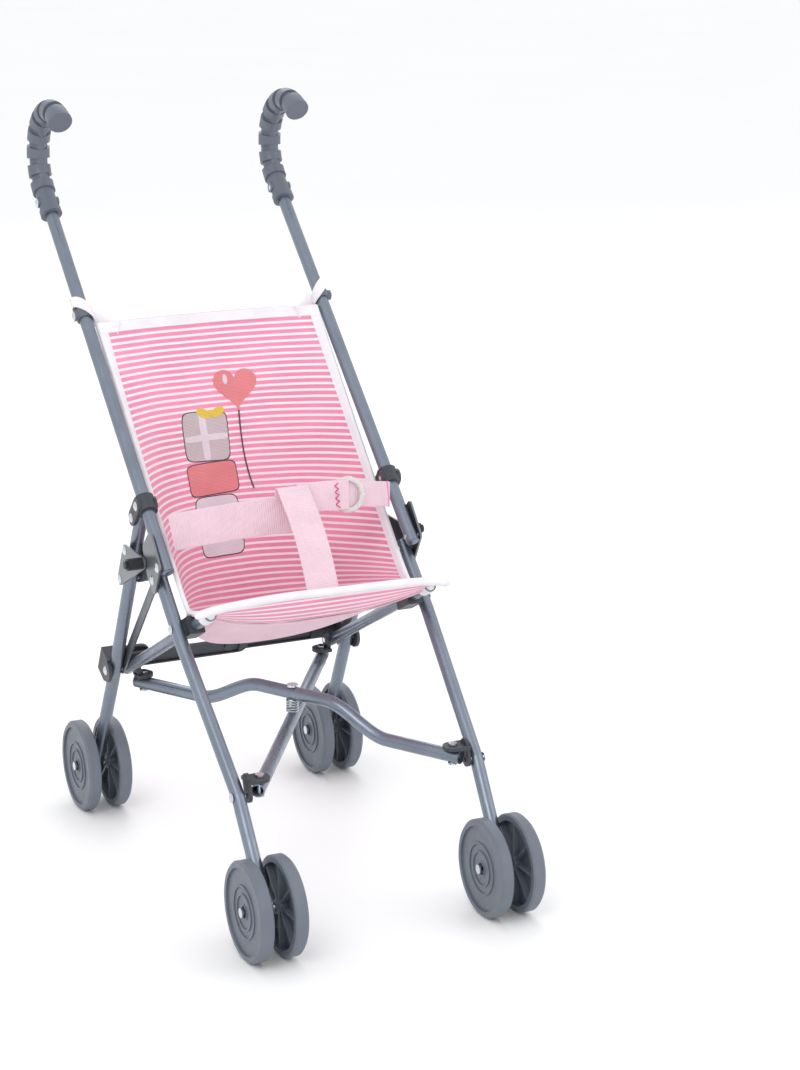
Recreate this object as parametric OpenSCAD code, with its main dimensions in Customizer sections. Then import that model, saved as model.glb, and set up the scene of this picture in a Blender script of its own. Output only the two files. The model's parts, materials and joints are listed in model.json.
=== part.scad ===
// Folding doll stroller: two tube sides, an X of cross tubes, a hammock seat and eight small wheels.
// Origin: on the floor, midway between the sides and between the axles. Front is -Y, left side is +X.

/* [Tubes] */
// Outside diameter of the handle, leg and cross tubes
tube_d = 10; // [8:0.5:11]
// Wall of every tube
tube_wall = 1; // [0.8:0.1:1.5]
// Outside diameter of the seat rails
rail_d = 9; // [7:0.5:10]
// Distance of each side's tubes from the middle
side_x = 98.2; // [85:0.2:125]

/* [Handles] */
// Height of the fold pivot at the lower end of a handle tube
pivot_z = 240.5; // [190:0.5:300]
// Place of the fold pivot from front to back
pivot_y = -3.5; // [-20:0.5:20]
// Slope of the handle tubes above the floor, in degrees
handle_slope = 43.4; // [38:0.2:50]
// Length of a handle tube from its fold pivot to the grip's crook
handle_len = 340; // [260:1:440]
// Outside diameter of the grip
grip_d = 18; // [15:0.5:24]
// Radius of the crook, at its centre line
crook_r = 38; // [26:1:46]

/* [Legs] */
// Distance from the front axle to the origin
front_axle_y = 168.7; // [140:0.5:220]
// Distance from the rear axle to the origin
rear_axle_y = 167.1; // [140:0.5:220]
// Distance of the front leg behind the handle's line
leg_offset = 16.5; // [14:0.5:20]
// Distance down the front leg from the fold pivot to the cross tube's clevis
clevis_down = 182.4; // [150:0.5:220]
// Distance down the front leg from the fold pivot to the seat rail
rail_down = 43; // [36:0.5:60]
// How far the front leg leans in at its clevis
front_lean = 5.2; // [0:0.2:8]
// How far the rear leg leans out at its axle
rear_lean = 1.9; // [0:0.1:4]
// Distance up the handle to the rear leg's pivot
rear_pivot_up = 54.3; // [50:0.5:80]
// Distance of that pivot behind the handle's line
rear_pivot_back = 15.3; // [13:0.1:20]
// Distance down the rear leg to the pin that carries the seat rail
rear_pin_down = 157; // [130:0.5:190]

/* [Wheels] */
// Radius of each wheel
wheel_r = 36; // [28:0.5:45]
// Width of each wheel
wheel_w = 10; // [8:0.5:14]
// Gap between the two wheels of a pair
wheel_gap = 15.6; // [12:0.2:20]
// Diameter of the steel axles
axle_d = 4; // [3:0.5:5]

/* [Cross tubes] */
// Distance from the middle to each end bolt of the cross tubes
cross_x = 75.5; // [60:0.5:90]
// Length of the coil spring between the cross tubes
spring_len = 10; // [6:0.5:14]
// Diameter of the bolts and rivets
rivet_d = 4; // [3:0.5:5]

/* [Seat] */
// How far the middle of the sling hangs below its side edges
seat_sag = 131; // [80:1:140]
// Thickness of the padded cloth
cloth_t = 3; // [2:0.5:5]
// Width of the harness webbing
web_w = 25; // [20:1:30]

/* [Hidden] */
$fn = 48;

LEFT = 1;
RIGHT = -1;
gap = 0.3;                       // side gap between pieces that swing past each other
pin_gap = 0.08;                  // running clearance round a pin
flange_t = 1.5;                  // thickness of the pressed steel plates
head_t = 1.6;                    // height of a rivet head
eps = 0.01;
tube_r = tube_d / 2;
rail_r = rail_d / 2;

// Layers of one side, from the middle outwards
in_face = side_x - tube_r;                  // inner surface of the side's tubes
out_face = side_x + tube_r;                 // outer surface of the side's tubes
brace_x = in_face - gap - flange_t;         // inner face of the brace's layer
rail_x = brace_x - 0.4 - rail_r;            // centre line of the seat rail
ear_x = rail_x - rail_r - gap;              // inner face of the clevis layer
channel_x = out_face + gap;                 // inner face of the channel's outer flange
latch_x = channel_x + flange_t + 0.6;       // inner face of the latch plate
clevis_leg_x = side_x - front_lean;         // front leg's centre line at the clevis

// Side view points are [y, z]; the handle's own directions run up along it and square behind it
up_dir = [cos(handle_slope), sin(handle_slope)];
back_dir = [sin(handle_slope), -cos(handle_slope)];
foot = [pivot_y, pivot_z];
function on_handle(up, back) = foot + up * up_dir + back * back_dir;

leg_top = on_handle(6, leg_offset);
leg_rail = on_handle(-rail_down, leg_offset);
leg_clevis = on_handle(-clevis_down, leg_offset);
front_axle = [-front_axle_y, wheel_r];
rear_axle = [rear_axle_y, wheel_r];
rear_pivot = on_handle(rear_pivot_up, rear_pivot_back);
rear_len = norm(rear_axle - rear_pivot);
rear_dir = (rear_axle - rear_pivot) / rear_len;
rear_out = [-rear_dir[1], rear_dir[0]];
function on_rear(down, out) = rear_pivot + down * rear_dir + out * rear_out;
rear_pin = on_rear(rear_pin_down, 0);
rail_dir = (leg_rail - rear_pin) / norm(leg_rail - rear_pin);
rail_len = norm(leg_rail - rear_pin) + 43;
rail_front = rear_pin + rail_len * rail_dir;

// Plane of the cross tubes: their axes lie under the tongues of the clevises
tongue_t = 2.5;
tongue_drop = 8;                            // tongue's top below the rear pin
rear_bolt = [rear_pin[0] - 0.8, rear_pin[1] - tongue_drop - tongue_t - 0.5 - tube_r + 2.5];
front_bolt = [leg_clevis[0] + 3.5, leg_clevis[1] + 3.4];
cross_run = norm(front_bolt - rear_bolt);
cross_pitch = atan2(rear_bolt[1] - front_bolt[1], rear_bolt[0] - front_bolt[0]);
cross_mid = (front_bolt + rear_bolt) / 2;
half_len = norm([cross_x, cross_run / 2]);
half_angle = atan2(cross_x, cross_run / 2);
cross_hump = tube_d + spring_len;           // rise of the upper tube over the lower one
tail = 7;                                   // tube beyond each end bolt
clip_up = 230;                              // strap clip's distance up the handle tube
arm_t = 2.6;                                // thickness of the moulded arms outside the tubes
toe_in = 1.6;                               // further lean of the front leg below its clevis
wheel_off = wheel_gap / 2 + wheel_w / 2;    // wheel's middle from the leg's middle

function lerp(a, b, t) = a + (b - a) * t;
function at_x(x, p) = [x, p[0], p[1]];
function heading(v) = [0, acos(v[2] / norm(v)), atan2(v[1], v[0])];

// Mirrors its children onto one side of the stroller
module on_side(side) {
    mirror([side == RIGHT ? 1 : 0, 0, 0]) children();
}

// A solid rod between two points
module rod(a, b, d) {
    translate(a) rotate(heading(b - a)) cylinder(d = d, h = norm(b - a));
}

// A rod through a list of points; a ball a touch larger than the rod rounds each bend
bend_over = 0.04;
module bent_rod(points, d) {
    for (i = [0:len(points) - 2]) rod(points[i], points[i + 1], d);
    if (len(points) > 2) for (i = [1:len(points) - 2]) translate(points[i]) sphere(d = d + bend_over);
}

// Moves an end point of a run outwards by some length
function beyond(a, b, by) = b + (b - a) / norm(b - a) * by;

// A tube through a list of points, open at both ends
module tube(points, d) {
    last = len(points) - 1;
    first_out = beyond(points[1], points[0], 1);
    last_out = beyond(points[last - 1], points[last], 1);
    middle = [for (i = [1:1:last - 1]) points[i]];
    difference() {
        bent_rod(points, d);
        bent_rod(concat([first_out], middle, [last_out]), d - 2 * tube_wall);
    }
}

// A round bar along X at a side view point, from x0 to x1
module cross_pin(p, x0, x1, d) {
    translate([x0, p[0], p[1]]) rotate([0, 90, 0]) cylinder(d = d, h = x1 - x0);
}

// A rivet along X with one domed outer head
module rivet(p, x0, x1) {
    head_r = rivet_d * 0.9;
    cross_pin(p, x0, x1 + eps, rivet_d);
    translate([x1, p[0], p[1]]) rotate([0, 90, 0]) intersection() {
        cylinder(r = head_r, h = head_t);
        translate([0, 0, head_t - head_r * 1.5]) sphere(r = head_r * 1.5);
    }
}

// A flat plate along X through side view points, each corner rounded by a disc
module plate(x0, t, corners, r) {
    last = len(corners) - 1;
    if (last > 1) translate([x0, 0, 0]) rotate([90, 0, 90]) linear_extrude(height = t) polygon(corners);
    for (c = corners) cross_pin(c, x0, x0 + t, 2 * r);
    for (i = [0:last > 1 ? last : 0]) strip(x0, t, corners[i], corners[(i + 1) % len(corners)], r);
}

// A flat strip of half width r between two side view points
module strip(x0, t, a, b, r) {
    n = [-(b - a)[1], (b - a)[0]] / norm(b - a) * r;
    translate([x0, 0, 0]) rotate([90, 0, 90]) linear_extrude(height = t)
        polygon([a + n, b + n, b - n, a - n]);
}

// ---------- handle side ----------

module handle_tube(side) {
    color("#9aa2ab") on_side(side) difference() {
        tube([at_x(side_x, on_handle(-tube_r, 0)), at_x(side_x, on_handle(handle_len + 6, 0))], tube_d);
        for (up = [0, rear_pivot_up, grip_pin])
            cross_pin(on_handle(up, 0), in_face - 1, out_face + 1, rivet_d + 2 * pin_gap);
        cross_pin(on_handle(clip_up, 0), side_x, out_face + 1, rivet_d + 2 * pin_gap);
    }
}

// Points along the grip: straight up the tube, then curled forward and down over the top
crook_start = on_handle(handle_len + 12, 0);
crook_centre = crook_start - crook_r * back_dir;
function crook_at(a) = crook_centre + crook_r * [cos(a), sin(a)];
crook_from = handle_slope - 90;
crook_bend = 168;
rib_count = 8;
rib_w = 9;
core_d = grip_d - 4;
spine_d = grip_d / 2;
grip_pin = handle_len + 2;                  // pin through the grip's socket

// One slice of the crook between two angles, its section centred at a radius
module crook_slice(a0, a1, d, radius) {
    translate([side_x, crook_centre[0], crook_centre[1]]) rotate([90, 0, 90]) rotate([0, 0, a0])
        rotate_extrude(angle = a1 - a0) translate([radius, 0]) circle(d = d);
}

module grip(side) {
    rib_angle = rib_w / crook_r * 180 / PI;
    step = (crook_bend - rib_angle) / (rib_count - 1);
    socket = [at_x(side_x, on_handle(handle_len - 11, 0)), at_x(side_x, crook_start + 0.5 * up_dir)];
    tip = crook_at(crook_from + crook_bend);
    tip_dir = [-sin(crook_from + crook_bend), cos(crook_from + crook_bend)];
    color("#6b7380") on_side(side) difference() {
        union() {
            rod(socket[0], socket[1], core_d + 1);
            rod(socket[0], at_x(side_x, on_handle(handle_len - 6, 0)), core_d + 3);
            cross_pin(on_handle(grip_pin, 0), side_x - core_d / 2 - 1.5, side_x + core_d / 2 + 1.5, 8);
            crook_slice(crook_from, crook_from + crook_bend, core_d, crook_r);
            crook_slice(crook_from, crook_from + crook_bend, spine_d, crook_r - spine_d / 2 + 0.2);
            for (i = [0:rib_count - 1])
                crook_slice(crook_from + i * step, crook_from + i * step + rib_angle, grip_d, crook_r);
            rod(at_x(side_x, tip - 0.6 * tip_dir), at_x(side_x, tip + 2.2 * tip_dir), grip_d + 0.8);
        }
        rod(at_x(side_x, on_handle(handle_len - 12, 0)), at_x(side_x, on_handle(handle_len + 6.2, 0)),
            tube_d + 0.1);
        cross_pin(on_handle(grip_pin, 0), side_x - core_d, side_x + core_d, rivet_d + 2 * pin_gap);
    }
}

module strap_clip(side) {
    color("#5d636c") on_side(side) difference() {
        union() {
            cross_pin(on_handle(clip_up, 0), out_face + 0.1, out_face + 3.2, 8);
            rod(at_x(side_x, on_handle(clip_up - 4, 0)), at_x(side_x, on_handle(clip_up + 4, 0)), tube_d + 3);
        }
        rod(at_x(side_x, on_handle(clip_up - 5, 0)), at_x(side_x, on_handle(clip_up + 5, 0)), tube_d + 0.1);
        cross_pin(on_handle(clip_up, 0), side_x, out_face + 5, rivet_d + 2 * pin_gap);
        translate([side_x - tube_d * 1.5, 0, 0]) cross_pin(on_handle(clip_up, 0), 0, tube_d * 1.2, 30);
    }
}

module collar(side) {
    ring_h = 13;
    color("#4d5259") on_side(side) difference() {
        union() {
            rod(at_x(side_x, on_handle(rear_pivot_up - ring_h / 2, 0)),
                at_x(side_x, on_handle(rear_pivot_up + ring_h / 2, 0)), tube_d + 5);
            plate(channel_x, arm_t, [on_handle(rear_pivot_up, 0), rear_pivot], 6);
            plate(in_face - gap - 2, 2, [on_handle(rear_pivot_up, 0), rear_pivot], 6);
        }
        rod(at_x(side_x, on_handle(rear_pivot_up - ring_h, 0)),
            at_x(side_x, on_handle(rear_pivot_up + ring_h, 0)), tube_d + 0.1);
        translate([in_face - gap, 0, 0]) rotate([90, 0, 90]) linear_extrude(height = tube_d + 2 * gap)
            translate(rear_pivot) circle(r = tube_r + 3);
        for (p = [on_handle(rear_pivot_up, 0), rear_pivot])
            cross_pin(p, brace_x - 5, latch_x + 5, rivet_d + 2 * pin_gap);
    }
}

module handle_rivets(side) {
    color("#d9dde2") on_side(side) {
        rivet(foot, in_face, channel_x + flange_t);
        rivet(on_handle(rear_pivot_up, 0), in_face - gap - 2, channel_x + arm_t);
        rivet(rear_pivot, in_face - gap - 2, channel_x + arm_t);
        rivet(on_handle(clip_up, 0), side_x + 0.5, out_face + 3.2);
        rivet(on_handle(grip_pin, 0), side_x - core_d / 2 - 1.5, side_x + core_d / 2 + 1.5);
    }
}

// ---------- front leg ----------

channel_rivet = on_handle(0, leg_offset);

module channel(side) {
    web_back = leg_offset + tube_r + gap;
    corner_r = 3.5;
    outline = [on_handle(24, -5), on_handle(25, 12), on_handle(8, web_back - 2.1),
               on_handle(-6, web_back - 2.1), on_handle(-1, -2)];
    color("#b4b3af") on_side(side) difference() {
        union() {
            plate(channel_x, flange_t, outline, corner_r);
            translate([in_face, foot[0], foot[1]]) rotate([handle_slope, 0, 0])
                translate([0, -7, -web_back - flange_t])
                cube([channel_x + flange_t / 2 - in_face, 14, flange_t]);
        }
        for (p = [foot, channel_rivet])
            cross_pin(p, in_face - 1, latch_x + 1, rivet_d + 2 * pin_gap);
    }
}

module front_leg(side) {
    path = [at_x(side_x, leg_top), at_x(side_x, on_handle(-rail_down - 12, leg_offset)),
            at_x(clevis_leg_x, leg_clevis), at_x(clevis_leg_x - toe_in, beyond(leg_clevis, front_axle, 6))];
    color("#9aa2ab") on_side(side) difference() {
        tube(path, tube_d);
        for (p = [channel_rivet, leg_rail]) cross_pin(p, in_face - 1, out_face + 1, rivet_d + 2 * pin_gap);
        cross_pin(leg_clevis, clevis_leg_x - tube_d, clevis_leg_x + tube_d, rivet_d + 2 * pin_gap);
        cross_pin(front_axle, clevis_leg_x - tube_d, clevis_leg_x + tube_d, axle_d + 2 * pin_gap);
    }
}

module leg_rivets(side) {
    color("#d9dde2") on_side(side) {
        rivet(channel_rivet, in_face, channel_x + flange_t);
        rivet(leg_rail, in_face + 0.1, out_face);
        rivet(leg_clevis, clevis_leg_x - tube_r + 0.1, clevis_leg_x + tube_r + 0.15);
    }
}

// A steel axle with a head at each end; the wheels turn on it between the heads
module axle(side, leg_x, p) {
    reach = wheel_off + wheel_w / 2 + 0.4;
    color("#d9dde2") on_side(side) {
        cross_pin(p, leg_x - reach, leg_x + reach, axle_d);
        for (x = [-reach - 1, reach]) cross_pin(p, leg_x + x, leg_x + x + 1, axle_d + 3);
        for (x = [-tube_r - gap - 1, tube_r + gap]) difference() {
            cross_pin(p, leg_x + x, leg_x + x + 1, axle_d + 3);
            cross_pin(p, leg_x + x - 1, leg_x + x + 2, axle_d - eps);
        }
    }
}

// ---------- rear leg ----------

latch_a = on_rear(32, 0);                   // upper rivet of the latch plate and brace
latch_b = on_rear(61, 0);                   // lower rivet
latch_k = rear_pivot + [-23.5, -28.7];      // the latch's pin, in front of the rear leg
brace_len = 135;
brace_angle = 132.3;
brace_tip = rear_pin + brace_len * [cos(brace_angle), sin(brace_angle)];

module rear_leg(side) {
    path = [at_x(side_x, on_rear(-6, 0)), at_x(side_x, rear_pin),
            at_x(side_x + rear_lean, beyond(rear_pin, rear_axle, 6))];
    color("#9aa2ab") on_side(side) difference() {
        tube(path, tube_d);
        for (p = [rear_pivot, rear_pin, latch_a, latch_b])
            cross_pin(p, in_face - 1, out_face + 1, rivet_d + 2 * pin_gap);
        cross_pin(rear_axle, side_x - tube_d, side_x + tube_d * 1.5, axle_d + 2 * pin_gap);
    }
}

module latch_plate(side) {
    color("#b4b3af") on_side(side) difference() {
        plate(latch_x, flange_t, [latch_a, latch_b, latch_k], 4.5);
        for (p = [latch_a, latch_b, latch_k]) cross_pin(p, latch_x - 1, latch_x + 5, rivet_d + 2 * pin_gap);
    }
}

module latch_pin(side) {
    color("#33363b") on_side(side) {
        cross_pin(latch_k, latch_x, latch_x + flange_t + eps, rivet_d);
        cross_pin(latch_k, latch_x + flange_t, latch_x + 13, 9);
        cross_pin(latch_k, latch_x + 13 - eps, latch_x + 15, 6);
    }
}

module brace(side) {
    color("#a9abad") on_side(side) difference() {
        union() {
            plate(brace_x, flange_t, [rear_pin, brace_tip], 4.2);
            plate(brace_x, flange_t, [brace_tip, latch_a, latch_b], 4.2);
        }
        for (p = [rear_pin, latch_a, latch_b]) cross_pin(p, brace_x - 1, in_face, rivet_d + 2 * pin_gap);
    }
}

module rear_rivets(side) {
    color("#d9dde2") on_side(side) {
        for (p = [latch_a, latch_b]) rivet(p, brace_x, latch_x + flange_t);
        rivet(rear_pin, ear_x - 3.5, channel_x + arm_t);
    }
}

bar_plane = tube_r + 1.9;                   // crossbars lie this far behind the rear legs' centre line
bar_t = 2.7;
bar_h = 14.5;
bar_hinge_x = side_x - 14.7;
bar_stack = 2 * bar_t + gap;
lug_z = bar_plane + bar_stack + gap;        // inner face of the lug that carries a crossbar
lug_r = 9;

// Places children in the crossbars' plane: X across, Y up along the rear legs, Z out behind them
module bar_frame() {
    translate(at_x(0, rear_pin)) rotate([-atan2(rear_out[0], rear_out[1]), 0, 0]) children();
}

module rear_bracket(side) {
    color("#4a4e55") on_side(side) difference() {
        union() {
            bar_frame() {
                translate([in_face + gap, -11, 0]) cube([tube_d + arm_t, 22, lug_z + arm_t]);
                translate([bar_hinge_x - lug_r, -lug_r, lug_z])
                    cube([in_face - bar_hinge_x + lug_r + 3, 2 * lug_r, arm_t]);
                translate([bar_hinge_x - lug_r, 0, lug_z]) cylinder(r = lug_r, h = arm_t);
            }
            cross_pin(rear_pin, channel_x, channel_x + arm_t, 18);
        }
        rod(at_x(side_x, on_rear(rear_pin_down - 20, 0)), at_x(side_x, on_rear(rear_pin_down + 20, 0)),
            tube_d + 0.3);
        rod(at_x(side_x, rear_pin), at_x(side_x + rear_lean, rear_axle), tube_d + 0.3);
        cross_pin(rear_pin, in_face - 1, latch_x + 5, rivet_d + 2 * pin_gap);
        bar_frame() translate([bar_hinge_x, 0, lug_z - 1]) cylinder(d = rivet_d + 2 * pin_gap, h = 9);
    }
}

// One folding half of the rear crossbar: a pressed bar with a raised lip along both edges
module crossbar(side) {
    layer = side == RIGHT ? 0 : bar_t + gap;
    hinge_len = bar_stack + 4.6 - layer;
    past_middle = 8;
    lip = 1.4;
    rivet_r = 4.5;
    color("#565a61") on_side(side) bar_frame() translate([0, 0, bar_plane + layer]) {
        difference() {
            union() {
                translate([-past_middle, -bar_h / 2, 0]) cube([bar_hinge_x + past_middle, bar_h, bar_t]);
                translate([bar_hinge_x, 0, 0]) cylinder(r = bar_h / 2, h = bar_t);
                translate([-past_middle, 0, 0]) cylinder(r = bar_h / 2, h = bar_t);
            }
            translate([-past_middle, lip - bar_h / 2, -1])
                cube([bar_hinge_x - past_middle / 2, bar_h - 2 * lip, bar_t - 0.2]);
        }
        translate([bar_hinge_x, 0, bar_t - eps]) cylinder(d = rivet_d, h = hinge_len - bar_t);
        if (side == RIGHT) translate([0, 0, 0.2 - eps]) cylinder(r = rivet_r, h = head_t);
        if (side == LEFT) translate([0, 0, bar_t - eps]) cylinder(r = rivet_r, h = head_t);
    }
}

module seat_rail(side) {
    color("#9aa2ab") on_side(side) difference() {
        tube([at_x(rail_x, rear_pin - 5.4 * rail_dir), at_x(rail_x, rail_front)], rail_d);
        cross_pin(rear_pin, rail_x - rail_d, rail_x + rail_d, rivet_d + 2 * pin_gap);
    }
}

module rail_clamp(side) {
    color("#3f434a") on_side(side) difference() {
        translate([rail_x - rail_r - 1, leg_rail[0], leg_rail[1]])
            rotate([-atan2(rail_dir[1], -rail_dir[0]), 0, 0])
            translate([0, -11, -rail_r - 2.2])
            cube([in_face - 2 * gap - rail_x + rail_r + 1, 22, rail_d + 4.4]);
        rod(at_x(rail_x, rear_pin), at_x(rail_x, rail_front), rail_d + 0.1);
    }
}

// ---------- cross tubes ----------

// Places children in the cross tubes' plane: X across, -Y forward, Z square to the plane
module cross_frame() {
    translate(at_x(0, cross_mid)) rotate([cross_pitch, 0, 0]) children();
}

// A tongue plate over a cross tube's end with an ear on a side pin; ear_up is the ear's root above the tongue
module clevis(x1, bolt, pin, ear_t, ear_up) {
    tongue_z = tube_r + 0.5;
    difference() {
        union() {
            cross_frame() translate([cross_x, bolt, tongue_z]) {
                cylinder(r = 7.5, h = tongue_t);
                translate([0, -7.5, 0]) cube([x1 - cross_x, 15, tongue_t]);
            }
            plate(x1 - ear_t, ear_t, [pin, lift_point(bolt, tongue_z + ear_up)], 5.2);
        }
        cross_frame() translate([cross_x, bolt, 0]) cylinder(d = rivet_d + 2 * pin_gap, h = 30);
        cross_pin(pin, x1 - ear_t - 1, x1 + 1, rivet_d + 2 * pin_gap);
    }
}

// Side view point above the cross tubes' plane, at a distance along it from its middle
function lift_point(along, up) = cross_mid + along * [cos(cross_pitch), sin(cross_pitch)]
    + up * [-sin(cross_pitch), cos(cross_pitch)];

module rear_clevis(side) {
    color("#454a52") on_side(side) clevis(ear_x, cross_run / 2, rear_pin, 2.8, 5.2);
}

module front_clevis(side) {
    color("#454a52") on_side(side)
        clevis(clevis_leg_x - tube_r - 5 * gap, -cross_run / 2, leg_clevis, 2.4, 1.2);
}

// The upper tube's hump: half its flat top and the length of its ramps
top_half = 48;
ramp_run = 20;

// The upper tube's line from end to end, as a bar of diameter d
module hump_bar(d, end_y) {
    bent_rod([for (p = [[-end_y, 0], [-top_half - ramp_run, 0], [-top_half, cross_hump],
        [top_half, cross_hump], [top_half + ramp_run, 0], [end_y, 0]]) [0, p[0], p[1]]], d);
}

// Cross tube from the rear of one side to the front of the other, with ball-shaped closed ends
module cross_tube(rear_side, humped) {
    end_y = half_len + tail - tube_r;
    bore_d = tube_d - 2 * tube_wall;
    color("#9aa2ab") cross_frame() rotate([0, 0, -rear_side * half_angle]) difference() {
        union() {
            if (humped) hump_bar(tube_d, end_y);
            else rod([0, -end_y, 0], [0, end_y, 0], tube_d);
            for (y = [-end_y, end_y]) translate([0, y, 0]) sphere(d = tube_d + bend_over);
        }
        if (humped) hump_bar(bore_d, end_y - 0.5);
        else rod([0, -end_y + 0.5, 0], [0, end_y - 0.5, 0], bore_d);
        for (y = [-half_len, half_len])
            translate([0, y, -tube_d]) cylinder(d = rivet_d + 2 * pin_gap, h = 2 * tube_d);
        if (humped) translate([0, 0, cross_hump - tube_d])
            cylinder(d = rivet_d + 2 * pin_gap, h = 2 * tube_d);
    }
}

module cross_bolts(rear_side) {
    color("#e3e6ea") cross_frame() rotate([0, 0, -rear_side * half_angle])
        for (y = [-half_len, half_len]) translate([0, y, 0]) {
            translate([0, 0, -tube_r - 1.2]) cylinder(d = rivet_d, h = tube_d + tongue_t + 2.3);
            translate([0, 0, tube_r + tongue_t + 0.9]) cylinder(d = 1.6 * rivet_d, h = head_t);
            translate([0, 0, -tube_r - 1.4]) cylinder(r = 3.4, h = 1.2);
        }
}

module centre_rivet() {
    color("#d9dde2") cross_frame() translate([0, 0, cross_hump - tube_r + 0.4]) {
        cylinder(d = rivet_d, h = tube_d);
        translate([0, 0, tube_d - 0.2]) cylinder(r = 4.2, h = head_t);
    }
}

module coil_spring() {
    turns = 4;
    wire = 1.4;
    color("#c7ccd1") cross_frame() translate([0, 0, tube_r + gap]) difference() {
        union() {
            for (i = [0:turns - 1]) translate([0, 0, i * (spring_len - gap) / turns])
                rotate_extrude() translate([3.6, 0]) square([wire, (spring_len - gap) / turns - 0.5]);
            cylinder(r = 3.8, h = spring_len - gap);
        }
        translate([0, 0, -1]) cylinder(r = 2.6, h = spring_len + 2);
    }
}

// ---------- wheels ----------

// A moulded wheel: raised rim, recessed disc with a step ring, hollow ribbed inner side, hub bore
module wheel(side, leg_x, p, place) {
    rim_w = 5;
    disc_t = 2.4;
    rib_n = 8;
    color("#6b7380") on_side(side) translate([leg_x + place * wheel_off, p[0], p[1]])
        rotate([0, place * 90, 0]) translate([0, 0, -wheel_w / 2]) difference() {
            union() {
                rotate_extrude($fn = 96) polygon([[wheel_r - rim_w, 0], [wheel_r - 1.2, 0], [wheel_r, 1.2],
                    [wheel_r, wheel_w - 1.8], [wheel_r - 1.8, wheel_w], [wheel_r - rim_w, wheel_w]]);
                translate([0, 0, wheel_w - disc_t - 1.8])
                    cylinder(r = wheel_r - rim_w + 0.5, h = disc_t, $fn = 96);
                cylinder(r = 5.5, h = wheel_w - 1.2);
                for (r = [12, 18]) translate([0, 0, wheel_w - 4]) difference() {
                    cylinder(r = r + 1.2, h = 3.2);
                    translate([0, 0, -1]) cylinder(r = r, h = 6);
                }
                for (i = [0:rib_n - 1]) rotate([0, 0, i * 360 / rib_n])
                    translate([4, -0.8, 1.5]) cube([wheel_r - rim_w - 3.5, 1.6, wheel_w - 5]);
            }
            translate([0, 0, -1]) cylinder(d = axle_d + 0.16, h = wheel_w + 2);
            translate([0, 0, wheel_w - 3]) cylinder(r = 4.4, h = 4);
        }
}

// ---------- soft goods, plain closed solids ----------

seat_half = rail_x - rail_r - 1.4;          // half width of the sling inside the rails
top_edge = on_handle(228, 11);              // side edge of the sling at the top
front_edge = on_handle(-55, -17);           // side edge of the sling at the seat's front
side_run = (front_edge - top_edge) / norm(front_edge - top_edge);
hang_dir = [-side_run[1], side_run[0]];     // square to the side edges, downwards
crease_along = 0.78;                        // place of the crease along the side edges
crease = lerp(top_edge, front_edge, crease_along) + seat_sag * hang_dir;
front_mid = front_edge + [-4, 7];           // middle of the seat's front edge
crease_t = norm(crease - top_edge) / (norm(crease - top_edge) + norm(front_mid - crease));
round_t = 0.07;                             // share of the length rounded on each side of the crease

// Middle line of the sling: straight down the back, round the crease, then up to the front edge
function back_at(t) = lerp(top_edge, crease, t / crease_t);
function seat_at(t) = lerp(crease, front_mid, (t - crease_t) / (1 - crease_t));
function crease_at(s) = lerp(lerp(back_at(crease_t - round_t), crease, s),
    lerp(crease, seat_at(crease_t + round_t), s), s);
function middle_at(t) = t < crease_t - round_t ? back_at(t)
    : t > crease_t + round_t ? seat_at(t) : crease_at((t - crease_t + round_t) / (2 * round_t));
function sling_at(t, v) = lerp(middle_at(t), lerp(top_edge, front_edge, t), pow(abs(v), 2.4));
function sling_point(t, v, lift) = at_x(v * seat_half, sling_at(t, v) - lift * hang_dir);

// A closed sheet solid over a grid of two-parameter points, front face then back face
module sheet_solid(nu, nv, front, back) {
    row = nv + 1;
    half = (nu + 1) * row;
    function id(i, j, s) = s * half + i * row + j;
    quads = concat(
        [for (i = [0:nu - 1], j = [0:nv - 1])
            [id(i, j, 0), id(i, j + 1, 0), id(i + 1, j + 1, 0), id(i + 1, j, 0)]],
        [for (i = [0:nu - 1], j = [0:nv - 1])
            [id(i, j, 1), id(i + 1, j, 1), id(i + 1, j + 1, 1), id(i, j + 1, 1)]],
        [for (j = [0:nv - 1]) [id(0, j, 0), id(0, j, 1), id(0, j + 1, 1), id(0, j + 1, 0)]],
        [for (j = [0:nv - 1]) [id(nu, j, 0), id(nu, j + 1, 0), id(nu, j + 1, 1), id(nu, j, 1)]],
        [for (i = [0:nu - 1]) [id(i, 0, 0), id(i + 1, 0, 0), id(i + 1, 0, 1), id(i, 0, 1)]],
        [for (i = [0:nu - 1]) [id(i, nv, 0), id(i, nv, 1), id(i + 1, nv, 1), id(i + 1, nv, 0)]]);
    tris = [for (q = quads, k = [0, 1]) k == 0 ? [q[0], q[1], q[2]] : [q[0], q[2], q[3]]];
    polyhedron(points = concat(front, back), faces = tris);
}

module seat_sling() {
    nu = 22;
    nv = 14;
    function grid(lift) = [for (i = [0:nu], j = [0:nv]) sling_point(i / nu, 2 * j / nv - 1, lift)];
    color("#f28cb4") sheet_solid(nu, nv, grid(cloth_t), grid(0));
}

// Middle line of the waist strap: from side edge to side edge, its middle drawn forward and up
strap_t = 1.6;
belt_end = lerp(top_edge, front_edge, 0.69);
belt_pull = [-19, 9];
belt_half = 0.93 * seat_half;
function belt_at(v) = belt_end + (1 - v * v) * belt_pull;

module waist_strap() {
    nu = 16;
    nv = 2;
    function place(i, j, y) = let (v = 2 * i / nu - 1)
        at_x(v * belt_half, belt_at(v) + [y, (1 - j) * web_w / 2]);
    function grid(y) = [for (i = [0:nu], j = [0:nv]) place(i, j, y)];
    color("#f8d0e0") sheet_solid(nu, nv, grid(strap_t), grid(0));
}

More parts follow.
